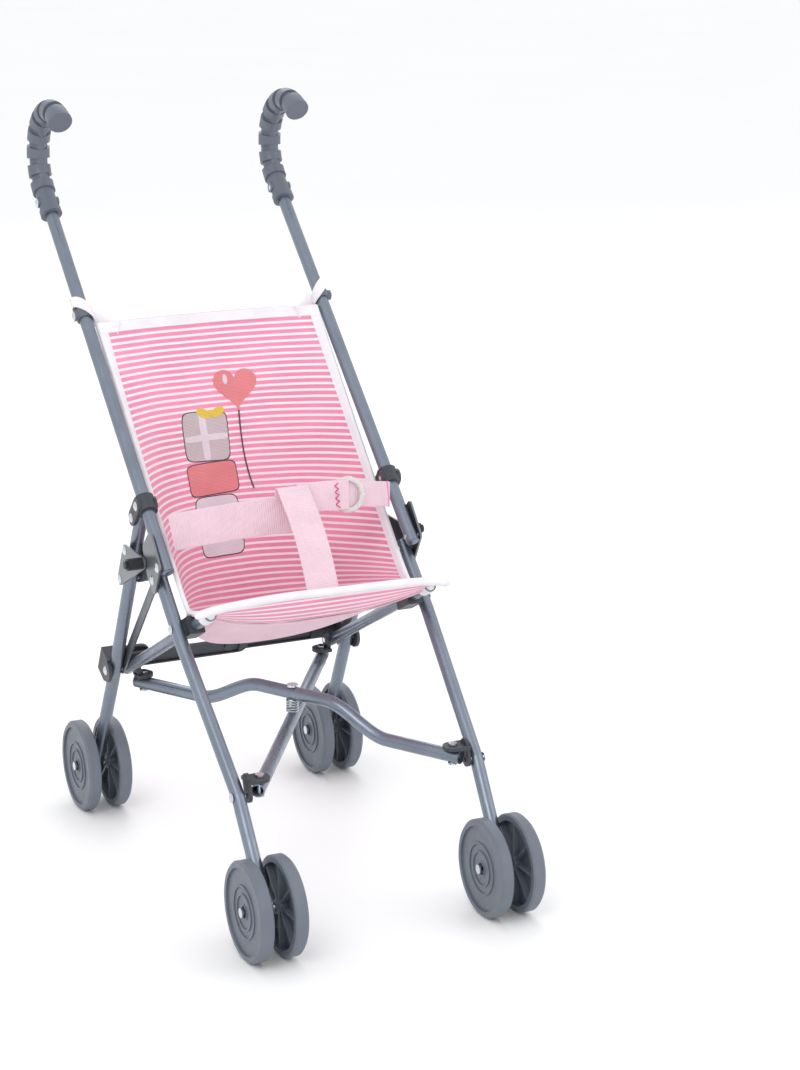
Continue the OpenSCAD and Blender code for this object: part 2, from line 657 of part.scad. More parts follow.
// Crotch strap: from the seat's front edge up over the front of the waist strap
module crotch_strap() {
    nu = 10;
    nv = 2;
    low = front_mid + [-5, 4];
    high = belt_at(0) + [-3, web_w / 2 + 1];
    function place(i, j, y) = at_x((j - 1) * web_w / 2, lerp(low, high, i / nu) + [y, 0]);
    function grid(y) = [for (i = [0:nu], j = [0:nv]) place(i, j, y)];
    color("#f8d0e0") sheet_solid(nu, nv, grid(strap_t), grid(0));
}

module harness_ring() {
    ring_v = 0.62;
    ring_wire = 3.6;
    ring_turn = atan(-2 * ring_v * belt_pull[0] / belt_half);
    color("#f4f4f2") translate(at_x(ring_v * belt_half, belt_at(ring_v) - [ring_wire, 0]))
        rotate([90, 0, ring_turn])
        rotate_extrude() translate([web_w / 2 - 0.5, 0]) circle(d = ring_wire);
}

handle_tube(LEFT);  // handle_tube_left
handle_tube(RIGHT);  // handle_tube_right
grip(LEFT);  // grip_left
grip(RIGHT);  // grip_right
strap_clip(LEFT);  // strap_clip_left
strap_clip(RIGHT);  // strap_clip_right
collar(LEFT);  // collar_left
collar(RIGHT);  // collar_right
handle_rivets(LEFT);  // handle_rivets_left
handle_rivets(RIGHT);  // handle_rivets_right
channel(LEFT);  // channel_left
channel(RIGHT);  // channel_right
front_leg(LEFT);  // front_leg_left
front_leg(RIGHT);  // front_leg_right
leg_rivets(LEFT);  // leg_rivets_left
leg_rivets(RIGHT);  // leg_rivets_right
axle(LEFT, clevis_leg_x - toe_in, front_axle);  // front_axle_left
axle(RIGHT, clevis_leg_x - toe_in, front_axle);  // front_axle_right
rear_leg(LEFT);  // rear_leg_left
rear_leg(RIGHT);  // rear_leg_right
rear_rivets(LEFT);  // rear_rivets_left
rear_rivets(RIGHT);  // rear_rivets_right
axle(LEFT, side_x + rear_lean, rear_axle);  // rear_axle_left
axle(RIGHT, side_x + rear_lean, rear_axle);  // rear_axle_right
latch_plate(LEFT);  // latch_plate_left
latch_plate(RIGHT);  // latch_plate_right
latch_pin(LEFT);  // latch_pin_left
latch_pin(RIGHT);  // latch_pin_right
brace(LEFT);  // brace_left
brace(RIGHT);  // brace_right
rear_bracket(LEFT);  // rear_bracket_left
rear_bracket(RIGHT);  // rear_bracket_right
seat_rail(LEFT);  // seat_rail_left
seat_rail(RIGHT);  // seat_rail_right
rail_clamp(LEFT);  // rail_clamp_left
rail_clamp(RIGHT);  // rail_clamp_right
rear_clevis(LEFT);  // rear_clevis_left
rear_clevis(RIGHT);  // rear_clevis_right
front_clevis(LEFT);  // front_clevis_left
front_clevis(RIGHT);  // front_clevis_right
crossbar(LEFT);  // crossbar_left
crossbar(RIGHT);  // crossbar_right
cross_tube(RIGHT, true);  // cross_tube_upper
cross_tube(LEFT, false);  // cross_tube_lower
cross_bolts(RIGHT);  // cross_bolts_upper
cross_bolts(LEFT);  // cross_bolts_lower
centre_rivet();
coil_spring();
wheel(LEFT, clevis_leg_x - toe_in, front_axle, 1);  // wheel_front_left_outer
wheel(LEFT, clevis_leg_x - toe_in, front_axle, -1);  // wheel_front_left_inner
wheel(RIGHT, clevis_leg_x - toe_in, front_axle, 1);  // wheel_front_right_outer
wheel(RIGHT, clevis_leg_x - toe_in, front_axle, -1);  // wheel_front_right_inner
wheel(LEFT, side_x + rear_lean, rear_axle, 1);  // wheel_rear_left_outer
wheel(LEFT, side_x + rear_lean, rear_axle, -1);  // wheel_rear_left_inner
wheel(RIGHT, side_x + rear_lean, rear_axle, 1);  // wheel_rear_right_outer
wheel(RIGHT, side_x + rear_lean, rear_axle, -1);  // wheel_rear_right_inner
seat_sling();
waist_strap();
crotch_strap();
harness_ring();
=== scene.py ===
"""Folding doll stroller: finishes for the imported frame, and its seat, straps, smooth cross tubes and spring.

Lengths are in metres. Front is -Y, the stroller's left side is +X and the floor is z = 0.
"""

import json
import logging
import math
from dataclasses import dataclass
from enum import Enum

import bmesh
import bpy
import numpy as np
from mathutils import Matrix, Vector


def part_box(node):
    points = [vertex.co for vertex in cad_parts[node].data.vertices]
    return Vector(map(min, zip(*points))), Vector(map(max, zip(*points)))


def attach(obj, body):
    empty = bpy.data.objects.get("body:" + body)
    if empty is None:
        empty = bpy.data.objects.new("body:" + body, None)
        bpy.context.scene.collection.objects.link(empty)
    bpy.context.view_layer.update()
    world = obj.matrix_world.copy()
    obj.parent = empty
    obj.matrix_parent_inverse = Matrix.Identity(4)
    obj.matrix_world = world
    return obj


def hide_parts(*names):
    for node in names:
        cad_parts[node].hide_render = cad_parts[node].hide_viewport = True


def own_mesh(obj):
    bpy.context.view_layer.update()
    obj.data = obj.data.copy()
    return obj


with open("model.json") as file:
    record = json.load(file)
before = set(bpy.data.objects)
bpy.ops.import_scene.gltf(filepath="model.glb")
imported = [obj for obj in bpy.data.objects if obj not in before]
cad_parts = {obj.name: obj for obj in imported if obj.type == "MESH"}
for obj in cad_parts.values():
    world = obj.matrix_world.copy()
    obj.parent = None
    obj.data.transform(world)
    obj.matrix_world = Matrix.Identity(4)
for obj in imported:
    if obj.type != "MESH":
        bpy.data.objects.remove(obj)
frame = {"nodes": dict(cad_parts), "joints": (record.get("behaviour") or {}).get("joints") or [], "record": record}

LOG = logging.getLogger("stroller")
MM = 0.001
Colour = tuple[float, float, float]


class Side(Enum):
    """The two sides of the stroller; the value is the sign of X."""

    LEFT = 1
    RIGHT = -1

    @property
    def word(self) -> str:
        """The side's name as it stands in the CAD nodes and bodies."""
        return self.name.lower()


# ---------------------------------------------------------------- shaders


class Shader:
    """A Principled material and the few nodes that its finishes share."""

    def __init__(self, name: str, colour: Colour, roughness: float, metallic: float = 0.0) -> None:
        """Makes the material with its constants set on the Principled sockets.

        Args:
            name: the material's name.
            colour: the base colour, linear.
            roughness: the roughness.
            metallic: 1 for bare metal.
        """
        self.material = bpy.data.materials.new(name)
        self.material.use_nodes = True
        self.tree = self.material.node_tree
        self.surface = next(n for n in self.tree.nodes if n.type == "BSDF_PRINCIPLED")
        self.surface.inputs["Base Color"].default_value = (*colour, 1.0)
        self.surface.inputs["Roughness"].default_value = roughness
        self.surface.inputs["Metallic"].default_value = metallic
        self.colour = colour
        self.bumps = None

    def node(self, kind: str, inputs: dict | None = None, **options) -> bpy.types.Node:
        """Adds a node.

        Args:
            kind: the node's Blender type name.
            inputs: socket values or sockets to wire in, by name or index.
            options: the node's own properties.

        Returns:
            The node.
        """
        made = self.tree.nodes.new(kind)
        for key, value in options.items():
            setattr(made, key, value)
        for key, value in (inputs or {}).items():
            if isinstance(value, bpy.types.NodeSocket):
                self.tree.links.new(value, made.inputs[key])
            else:
                made.inputs[key].default_value = value
        return made

    def place(self, stretch: tuple[float, float, float] = (1, 1, 1)) -> bpy.types.NodeSocket:
        """Object coordinates, stretched along each axis.

        Args:
            stretch: the scale along X, Y and Z.

        Returns:
            The vector socket.
        """
        at = self.node("ShaderNodeTexCoord").outputs["Object"]
        return self.node("ShaderNodeMapping", {"Vector": at, "Scale": stretch}).outputs["Vector"]

    def along(self) -> tuple[bpy.types.NodeSocket, bpy.types.NodeSocket]:
        """The piece's own UV map in metres.

        Returns:
            The sockets of the distance across and along.
        """
        uv = self.node("ShaderNodeUVMap", uv_map="UVMap").outputs["UV"]
        parts = self.node("ShaderNodeSeparateXYZ", {"Vector": uv})
        return parts.outputs["X"], parts.outputs["Y"]

    def noise(self, scale: float, detail: float = 3.0, stretch=(1, 1, 1)) -> bpy.types.NodeSocket:
        """A noise pattern on Object coordinates.

        Args:
            scale: how many cells there are to a metre.
            detail: the number of octaves.
            stretch: the scale along X, Y and Z.

        Returns:
            The factor socket.
        """
        inputs = {"Vector": self.place(stretch), "Scale": scale, "Detail": detail}
        return self.node("ShaderNodeTexNoise", inputs).outputs["Fac"]

    def math(self, operation: str, a, b=0.0) -> bpy.types.NodeSocket:
        """One arithmetic step between two values or sockets.

        Args:
            operation: Blender's name of the operation.
            a: the first value or socket.
            b: the second value or socket.

        Returns:
            The result's socket.
        """
        return self.node("ShaderNodeMath", {0: a, 1: b}, operation=operation).outputs[0]

    def ranged(
        self, value: bpy.types.NodeSocket, low: float, high: float, to_low: float, to_high: float
    ) -> bpy.types.NodeSocket:
        """Maps a value from one range to another, clamped and smoothed at its ends.

        Args:
            value: the socket to map.
            low: the range's start.
            high: the range's end.
            to_low: the result at the start.
            to_high: the result at the end.

        Returns:
            The result's socket.
        """
        made = self.node(
            "ShaderNodeMapRange",
            {"Value": value, "From Min": low, "From Max": high, "To Min": to_low, "To Max": to_high},
            interpolation_type="SMOOTHSTEP",
        )
        return made.outputs["Result"]

    def blend(self, share, under, over) -> bpy.types.NodeSocket:
        """Mixes two colours.

        Args:
            share: the socket with the share of the second colour.
            under: the first colour, or its socket.
            over: the second colour, or its socket.

        Returns:
            The mixed colour's socket.
        """
        sockets = [c if isinstance(c, bpy.types.NodeSocket) else (*c, 1.0) for c in (under, over)]
        made = self.node("ShaderNodeMix", {0: share, 6: sockets[0], 7: sockets[1]}, data_type="RGBA")
        return made.outputs[2]

    def paint(self, socket: bpy.types.NodeSocket) -> None:
        """Wires a colour into the surface.

        Args:
            socket: the colour's socket.
        """
        self.tree.links.new(socket, self.surface.inputs["Base Color"])

    def rough(self, value: bpy.types.NodeSocket, low: float, high: float) -> None:
        """Lets a pattern move the roughness between two values.

        Args:
            value: the pattern's socket.
            low: the roughness at its low end.
            high: the roughness at its high end.
        """
        self.tree.links.new(self.ranged(value, 0.3, 0.7, low, high), self.surface.inputs["Roughness"])

    def bump(self, height: bpy.types.NodeSocket, depth: float) -> None:
        """Adds a relief under any relief that is there already.

        Args:
            height: the pattern of heights, 0 to 1.
            depth: the relief's depth in metres.
        """
        inputs = {"Height": height, "Distance": depth, "Strength": 1.0}
        if self.bumps is not None:
            inputs["Normal"] = self.bumps
        self.bumps = self.node("ShaderNodeBump", inputs).outputs["Normal"]
        self.tree.links.new(self.bumps, self.surface.inputs["Normal"])

    def mottle(self, amount: float, scale: float) -> None:
        """Darkens the base colour slightly in soft patches.

        Args:
            amount: the share taken off.
            scale: how many patches there are to a metre.
        """
        darker = tuple(c * (1 - amount) for c in self.colour)
        self.paint(self.blend(self.ranged(self.noise(scale), 0.35, 0.65, 0, 1), darker, self.colour))


@dataclass(frozen=True)
class Steel:
    """Bare or painted steel: fine grain drawn along one axis, with roughness that wanders."""

    name: str
    colour: Colour
    roughness: float = 0.3
    metallic: float = 1.0
    grain: tuple[float, float, float] = (1, 1, 1)
    relief: float = 0.00002

    def make(self) -> bpy.types.Material:
        """The finish as a material."""
        s = Shader(self.name, self.colour, self.roughness, self.metallic)
        fine = s.noise(900, 2, self.grain)
        s.mottle(0.1, 35)
        s.rough(s.noise(60, 4, self.grain), self.roughness - 0.06, self.roughness + 0.08)
        s.bump(fine, self.relief)
        return s.material


@dataclass(frozen=True)
class Moulded:
    """Moulded plastic: a fine spark-eroded grain and a soft sheen."""

    name: str
    colour: Colour
    roughness: float = 0.45
    relief: float = 0.00005
    clear: float = 0.0

    def make(self) -> bpy.types.Material:
        """The finish as a material."""
        s = Shader(self.name, self.colour, self.roughness)
        s.surface.inputs["Transmission Weight"].default_value = self.clear
        s.surface.inputs["IOR"].default_value = 1.49
        s.mottle(0.08, 45)
        s.rough(s.noise(120, 4), self.roughness - 0.05, self.roughness + 0.07)
        s.bump(s.noise(1600, 2), self.relief)
        return s.material


@dataclass(frozen=True)
class Woven:
    """Plain woven or ribbed textile; ribs run across the piece and repeat along its length."""

    name: str
    colour: Colour
    rib_pitch: float = 0.0011
    rib_depth: float = 0.00018
    thread_pitch: float = 0.0009
    sheen: float = 0.25

    def weave(self, s: Shader) -> None:
        """Adds threads, ribs and slow creases to a shader.

        Args:
            s: the shader.
        """
        across, along = s.along()
        ribs = s.math("SINE", s.math("MULTIPLY", along, 2 * math.pi / self.rib_pitch))
        threads = s.math("SINE", s.math("MULTIPLY", across, 2 * math.pi / self.thread_pitch))
        s.bump(s.noise(60, 3), 0.0005)
        s.bump(s.ranged(ribs, -1, 1, 0, 1), self.rib_depth)
        s.bump(s.ranged(threads, -1, 1, 0, 1), self.rib_depth * 0.4)
        s.surface.inputs["Sheen Weight"].default_value = self.sheen
        s.surface.inputs["Sheen Roughness"].default_value = 0.5
        s.surface.inputs["Specular IOR Level"].default_value = 0.2

    def make(self) -> bpy.types.Material:
        """The finish as a material."""
        s = Shader(self.name, self.colour, 0.85)
        s.mottle(0.06, 55)
        self.weave(s)
        return s.material


@dataclass(frozen=True)
class Striped(Woven):
    """Woven cloth with narrow pale lines across it at a steady pitch along its length."""

    line: Colour = (0.87, 0.80, 0.84)
    pitch: float = 0.0049
    line_share: float = 0.38

    def make(self) -> bpy.types.Material:
        """The finish as a material."""
        s = Shader(self.name, self.colour, 0.85)
        _, along = s.along()
        beat = s.math("FRACT", s.math("MULTIPLY", along, 1 / self.pitch))
        off_middle = s.math("ABSOLUTE", s.math("SUBTRACT", beat, 0.5))
        half = self.line_share / 2
        share = s.ranged(off_middle, half - 0.05, half + 0.05, 1, 0)
        faded = tuple(min(1.0, c * 1.18) for c in self.colour)
        ground = s.blend(s.ranged(s.noise(25, 4), 0.35, 0.65, 0, 0.6), self.colour, faded)
        s.paint(s.blend(share, ground, self.line))
        self.weave(s)
        return s.material


def linear(code: str) -> Colour:
    """Turns an sRGB hex code into a linear colour.

    Args:
        code: six hex digits.

    Returns:
        The linear red, green and blue.
    """
    raw = [int(code[i : i + 2], 16) / 255 for i in (0, 2, 4)]
    return tuple(c / 12.92 if c <= 0.04045 else ((c + 0.055) / 1.055) ** 2.4 for c in raw)


CAD_FINISHES = {
    "tube_steel": Steel("tube_steel", linear("838c99"), 0.30, 0.82, (1, 1, 1)),
    "grip_plastic": Moulded("grip_plastic", linear("626975"), 0.42),
    "bracket_plastic": Moulded("bracket_plastic", linear("3a3e45"), 0.45),
    "sheet_steel": Steel("sheet_steel", linear("85888c"), 0.38, 0.9, (1, 0.15, 1), 0.00004),
    "rivet_steel": Steel("rivet_steel", linear("d5d8dd"), 0.22, 1.0, (1, 1, 1)),
    "spring_steel": Steel("spring_steel", linear("b9bec4"), 0.28, 1.0, (0.3, 0.3, 1)),
    "wheel_plastic": Moulded("wheel_plastic", linear("6b727d"), 0.48),
    "black_sleeve": Moulded("black_sleeve", linear("1c1d20"), 0.5),
    "ring_plastic": Moulded("ring_plastic", linear("f2f1ee"), 0.3, 0.00002, 0.35),
}
CLOTH = Striped("striped_cloth", linear("e38eab"), rib_pitch=0.0008, rib_depth=0.00006)
WEBBING = Woven("ribbed_webbing", linear("f2d2de"), rib_pitch=0.0016, rib_depth=0.0003)
TAPE = Woven("white_tape", linear("efebf0"), rib_pitch=0.0009, rib_depth=0.0001)
LINING = Woven("pale_lining", linear("efc9d6"), rib_pitch=0.0010, rib_depth=0.00008)
THREAD = Woven("pink_thread", linear("e0568c"), rib_pitch=0.0006, rib_depth=0.0001)
STRAP_EDGE = Woven("strap_edge", linear("ee8fb8"), rib_pitch=0.0009, rib_depth=0.0001)

# ---------------------------------------------------------------- surfaces


def lerp(a: np.ndarray, b: np.ndarray, share: np.ndarray) -> np.ndarray:
    """Mixes two arrays of points.

    Args:
        a: the first points.
        b: the second points.
        share: the share of the second, one value each.

    Returns:
        The mixed points.
    """
    return a + (b - a) * share[..., None]


def grid_faces(rows: int, cols: int, wrap_rows: bool, wrap_cols: bool) -> np.ndarray:
    """Quads between neighbouring points of a grid.

    Args:
        rows: the number of rows.
        cols: the number of columns.
        wrap_rows: whether the last row joins the first.
        wrap_cols: whether the last column joins the first.

    Returns:
        One row of four point numbers for each quad.
    """
    i, j = np.meshgrid(
        np.arange(rows if wrap_rows else rows - 1), np.arange(cols if wrap_cols else cols - 1), indexing="ij"
    )
    i2, j2 = (i + 1) % rows, (j + 1) % cols
    corners = (i * cols + j, i2 * cols + j, i2 * cols + j2, i * cols + j2)
    return np.stack(corners, axis=-1).reshape(-1, 4)


def steps(points: np.ndarray, axis: int) -> np.ndarray:
    """Distance run along one axis of a grid of points, measured on its middle line.

    Args:
        points: a grid of points.
        axis: 0 to run down the rows, 1 to run across the columns.

    Returns:
        The distance at each row or column, from 0.
    """
    middle = points.shape[1 - axis] // 2
    line = points[:, middle] if axis == 0 else points[middle]
    return np.concatenate([[0.0], np.cumsum(np.linalg.norm(np.diff(line, axis=0), axis=1))])


def piece(
    name: str,
    points: np.ndarray,
    finish: bpy.types.Material,
    wrap: tuple[bool, bool] = (False, True),
    uv: np.ndarray | None = None,
) -> bpy.types.Object:
    """Makes an object from a grid of points; its UV map is the distance across and along it.

    Args:
        name: the object's name.
        points: a grid of points, rows by columns by three.
        finish: the material.
        wrap: whether the rows and the columns close on themselves; open rows end in lids.
        uv: distances across and along at each point, if they aren't to be measured.

    Returns:
        The object, linked to the scene.
    """
    rows, cols = points.shape[:2]
    faces = grid_faces(rows, cols, *wrap).tolist()
    if not wrap[0]:
        faces += [list(range(cols)), list(range((rows - 1) * cols, rows * cols))[::-1]]
    if uv is None:
        uv = np.stack(np.meshgrid(steps(points, 1), steps(points, 0)), axis=-1)
    mesh = bpy.data.meshes.new(name)
    mesh.from_pydata(points.reshape(-1, 3).tolist(), [], faces)
    layer = mesh.uv_layers.new(name="UVMap")
    corner = np.empty(len(mesh.loops), np.int32)
    mesh.loops.foreach_get("vertex_index", corner)
    layer.data.foreach_set("uv", uv.reshape(-1, 2)[corner].astype(np.float32).ravel())
    mesh.polygons.foreach_set("use_smooth", np.ones(len(mesh.polygons), bool))
    whole = bmesh.new()
    whole.from_mesh(mesh)
    bmesh.ops.recalc_face_normals(whole, faces=whole.faces)
    whole.to_mesh(mesh)
    whole.free()
    mesh.set_sharp_from_angle(angle=math.radians(50))
    mesh.materials.append(finish)
    made = bpy.data.objects.new(name, mesh)
    bpy.context.scene.collection.objects.link(made)
    LOG.info("%s: %d points", name, len(mesh.vertices))
    return made


def oval(width: float, height: float, count: int = 16, power: float = 2.0) -> np.ndarray:
    """A closed section whose half widths to a power add up to one: 2 is an ellipse, more is squarer.

    Args:
        width: the section's width.
        height: the section's height.
        count: the number of points.
        power: the squareness.

    Returns:
        The section's points, two values each.
    """
    angle = np.arange(count) * 2 * np.pi / count
    c, s = np.cos(angle), np.sin(angle)
    shape = np.stack([np.sign(c) * np.abs(c) ** (2 / power), np.sign(s) * np.abs(s) ** (2 / power)], axis=-1)
    return shape * [width / 2, height / 2]


def swept(path: np.ndarray, section: np.ndarray, across: np.ndarray, closed: bool = False) -> np.ndarray:
    """Carries a section along a path: each point is the path point plus the section's two values along a
    sideways direction square to the path and along the direction square to both.

    Args:
        path: the points of the path.
        section: the section's points, two values each.
        across: one direction, or one for each path point, that the section's width keeps to.
        closed: whether the path closes on itself.

    Returns:
        A grid of points, one row for each path point.
    """
    ahead = np.roll(path, -1, axis=0) - np.roll(path, 1, axis=0)
    if not closed:
        ahead = np.gradient(path, axis=0)
    ahead = ahead / np.linalg.norm(ahead, axis=1, keepdims=True)
    across = np.broadcast_to(np.asarray(across, float), path.shape)
    wide = across - (across * ahead).sum(1, keepdims=True) * ahead
    wide = wide / np.linalg.norm(wide, axis=1, keepdims=True)
    thick = np.cross(ahead, wide)
    return path[:, None] + section[None, :, :1] * wide[:, None] + section[None, :, 1:] * thick[:, None]


def unit(v: np.ndarray) -> np.ndarray:
    """Scales vectors to length one.

    Args:
        v: a vector, or an array of them.

    Returns:
        The unit vectors.
    """
    return v / np.linalg.norm(v, axis=-1, keepdims=True)


def turned(angle: float) -> np.ndarray:
    """A turn in the plane.

    Args:
        angle: the turn in radians.

    Returns:
        The matrix that a row of points is multiplied by.
    """
    return np.array([[math.cos(angle), math.sin(angle)], [-math.sin(angle), math.cos(angle)]])


# ---------------------------------------------------------------- the frame's own places


@dataclass(frozen=True)
class HandleLine:
    """The handle tubes' line, in side view: up along the tube and back square to it."""

    foot: tuple[float, float] = (-0.0035, 0.2405)
    slope: float = math.radians(43.4)
    tube_x: float = 0.0982

    @property
    def up(self) -> np.ndarray:
        """Direction up along the tube, in side view."""
        return np.array([math.cos(self.slope), math.sin(self.slope)])

    @property
    def back(self) -> np.ndarray:
        """Direction square behind the tube, in side view."""
        return np.array([math.sin(self.slope), -math.cos(self.slope)])

    def at(self, up: float, back: float) -> np.ndarray:
        """A side view point.

        Args:
            up: the distance up the tube from the fold pivot.
            back: the distance behind it.

        Returns:
            The point's Y and Z.
        """
        return np.array(self.foot) + up * self.up + back * self.back


def joint_place(name: str) -> np.ndarray:
    """Where a joint of the frame is.

    Args:
        name: the joint's name.

    Returns:
        The point.
    """
    joint = next(j for j in frame["joints"] if j["name"] == name)
    return np.array(joint["pos_m"], float)


# ---------------------------------------------------------------- seat


@dataclass
class Sling:
    """The hammock seat: one striped cloth that hangs down the back, turns at a crease and rises forward."""

    line: HandleLine
    top_up: float = 0.220
    top_back: float = -0.001
    top_x: float = 0.0915
    hinge_up: float = -0.033
    hinge_back: float = 0.011
    hinge_x: float = 0.0885
    front_corner: tuple[float, float, float] = (0.0915, -0.0655, 0.2210)
    top_middle: tuple[float, float] = (0.1640, 0.3930)
    crease: tuple[float, float] = (0.0750, 0.1470)
    front_middle: tuple[float, float] = (-0.0610, 0.2225)
    edge_corner: float = 0.80
    seat_bow: float = 0.012
    seat_knee: float = 5.0
    round_share: float = 0.06
    fullness: float = 2.7
    cloth: float = 0.0022
    tape_proud: float = 0.0007
    tape_width: float = 0.0078
    piping_width: float = 0.0062
    ripples: tuple[tuple[float, ...], ...] = ((0.5, 31, 5, 0), (0.3, 53, -9, 1.3), (0.4, 17, 13, 0))
    rows: int = 150
    cols: int = 81

    def __post_init__(self) -> None:
        """Works out the lengths down the back and along the seat, and the side edge's corners."""
        top, crease, front = (np.array(p) for p in (self.top_middle, self.crease, self.front_middle))
        self.back_run = float(np.linalg.norm(crease - top))
        self.seat_run = float(np.linalg.norm(front - crease))
        self.length = self.back_run + self.seat_run
        self.crease_t = self.back_run / self.length
        hinge = self.line.at(self.hinge_up, self.hinge_back)
        upper = self.line.at(self.top_up, self.top_back)
        self.edge = np.array([[self.top_x, *upper], [self.hinge_x, *hinge], self.front_corner])
        self.middle = np.array([[0.0, *top], [0.0, *crease], [0.0, *front]])

    def bent(self, corners: np.ndarray, t: np.ndarray, c: float) -> np.ndarray:
        """A line through three corners whose middle corner is rounded by a parabola.

        Args:
            corners: the start, the middle corner and the end.
            t: share of the sling's length, from the top.
            c: the share at which the middle corner comes.

        Returns:
            The points.
        """
        r = self.round_share
        first = lerp(corners[0], corners[1], np.minimum(t / c, 1))
        second = lerp(corners[1], corners[2], np.maximum((t - c) / (1 - c), 0))
        start = corners[0] + (corners[1] - corners[0]) * (1 - r / c)
        end = corners[1] + (corners[2] - corners[1]) * (r / (1 - c))
        s = np.clip((t - c + r) / (2 * r), 0, 1)
        curve = lerp(lerp(start, corners[1], s), lerp(corners[1], end, s), s)
        near = (np.abs(t - c) < r)[..., None]
        return np.where(near, curve, np.where((t < c)[..., None], first, second))

    def lines(self, t: np.ndarray) -> tuple[np.ndarray, np.ndarray]:
        """The middle line, whose seat part bows down to a knee near its front, and the side edge.

        Args:
            t: shares of the length.

        Returns:
            The points of the middle line and of the edge.
        """
        middle = self.bent(self.middle, t, self.crease_t)
        seat = np.clip((t - self.crease_t) / (1 - self.crease_t), 0, 1)
        middle[..., 2] -= self.seat_bow * np.sin(np.pi * seat**self.seat_knee)
        return middle, self.bent(self.edge, t, self.crease_t * self.edge_corner)

    def base(self, t: np.ndarray, v: np.ndarray) -> np.ndarray:
        """The cloth's middle surface: between the middle line and the side edge by a power of the distance
        across, with shallow creases that fade out towards the middle and the edges.

        Args:
            t: share of the length, from the top to the front edge.
            v: place across, from -1 on the right to 1 on the left.

        Returns:
            The points.
        """
        t, v = np.broadcast_arrays(np.asarray(t, float), np.asarray(v, float))
        tc = np.clip(t, 0, 1)
        middle, edge = self.lines(tc)
        spread = np.abs(v) ** self.fullness
        out = middle + (edge - middle) * spread[..., None]
        out[..., 0] = v * edge[..., 0]
        ends = np.sin(np.pi * np.clip(t, 0, 1)) ** 0.5
        sides = np.clip(1 - np.abs(v), 0, 1) * np.abs(v) ** 1.5 * 4
        ripple = sum(size * np.sin(down * t + over * v + start) for size, down, over, start in self.ripples)
        slack = np.sin(9 * v + 2 * np.sin(6 * t)) * 0.4 * (1 - v * v)
        height = (ripple * sides * 1.3 + slack) * ends * MM
        out[..., 1] -= height * 0.8
        out[..., 2] += height * 0.5
        return out

    def normal(self, t: np.ndarray, v: np.ndarray) -> np.ndarray:
        """Direction out of the cloth on the doll's side, from the slopes down and across it.

        Args:
            t: shares of the length.
            v: places across.

        Returns:
            The unit directions.
        """
        step = 1e-3
        down = self.base(np.minimum(t + step, 1), v) - self.base(np.maximum(t - step, 0), v)
        over = self.base(t, v + step) - self.base(t, v - step)
        return unit(np.cross(down, over))

    def point(self, t: np.ndarray, v: np.ndarray, lift: np.ndarray) -> np.ndarray:
        """Points at a height above the cloth's middle surface, on the doll's side.

        Args:
            t: shares of the length.
            v: places across.
            lift: the heights.

        Returns:
            The points.
        """
        t, v = np.broadcast_arrays(np.asarray(t, float), np.asarray(v, float))
        return self.base(t, v) + self.normal(t, v) * np.asarray(lift)[..., None]

    def sheet(
        self, name: str, t: np.ndarray, v: np.ndarray, lifts: tuple[float, float], finish: bpy.types.Material
    ) -> tuple[bpy.types.Object, float]:
        """A closed sheet between two heights over part of the cloth.

        Args:
            name: the piece's name.
            t: shares of the length, one for each row.
            v: places across, one for each column.
            lifts: the heights of its upper and lower faces.
            finish: the material.

        Returns:
            The object, and its area on one face.
        """
        tt, vv = np.meshgrid(t, v, indexing="ij")
        upper = self.point(tt, vv, np.full(tt.shape, lifts[0]))
        lower = self.point(tt, vv, np.full(tt.shape, lifts[1]))
        points = np.concatenate([upper, lower[:, ::-1]], axis=1)
        across = vv * self.top_x
        along = t[0] * self.length + np.broadcast_to(steps(upper, 0)[:, None], tt.shape)
        uv = np.concatenate([np.stack([across, along], -1), np.stack([across, along], -1)[:, ::-1]], axis=1)
        made = piece(name, points, finish, uv=uv)
        side_a = np.diff(upper, axis=0)[:, :-1]
        side_b = np.diff(upper, axis=1)[:-1]
        return made, float(np.linalg.norm(np.cross(side_a, side_b), axis=-1).sum())

    def edge_tape(self, side: Side, finish: bpy.types.Material) -> bpy.types.Object:
        """White tape folded over a side edge; its width across the cloth is the same all the way down.

        Args:
            side: the side.
            finish: the material.

        Returns:
            The object.
        """
        t = np.linspace(0.0, 1.0, self.rows)
        middle, edge = self.lines(t)
        depth = np.linalg.norm((edge - middle)[:, 1:], axis=1)
        reach = self.tape_width / np.hypot(edge[:, 0], self.fullness * depth)
        proud = self.cloth / 2 + self.tape_proud
        share = np.array([1.0, 0.96, 0.5, 0.1, -0.06, -0.12, -0.06, 0.1, 0.5, 0.96, 1.0])
        lift = np.array([0.3, 1, 1, 1, 0.75, 0, -0.75, -1, -1, -1, -0.3]) * proud
        v = side.value * (1 - share[None] * reach[:, None])
        tt = np.broadcast_to(t[:, None], v.shape)
        return piece(f"side_tape_{side.word}", self.point(tt, v, np.broadcast_to(lift, v.shape)), finish)

    def top_tape(self, name: str, width: float, finish: bpy.types.Material) -> bpy.types.Object:
        """White tape folded over the cloth's top edge.

        Args:
            name: the piece's name.
            width: the tape's width.
            finish: the material.

        Returns:
            The object.
        """
        v = np.linspace(-1, 1, self.cols)
        proud = self.cloth / 2 + self.tape_proud + 0.0003
        share = np.array([1.0, 0.96, 0.5, 0.05, 0.0, 0.05, 0.5, 0.96, 1.0])
        lift = np.array([0.3, 1, 1, 0.9, 0, -0.9, -1, -1, -0.3]) * proud
        t = share * width / self.length
        tt, vv = np.meshgrid(t, v)
        return piece(name, self.point(tt, vv, np.broadcast_to(lift, tt.shape)), finish)

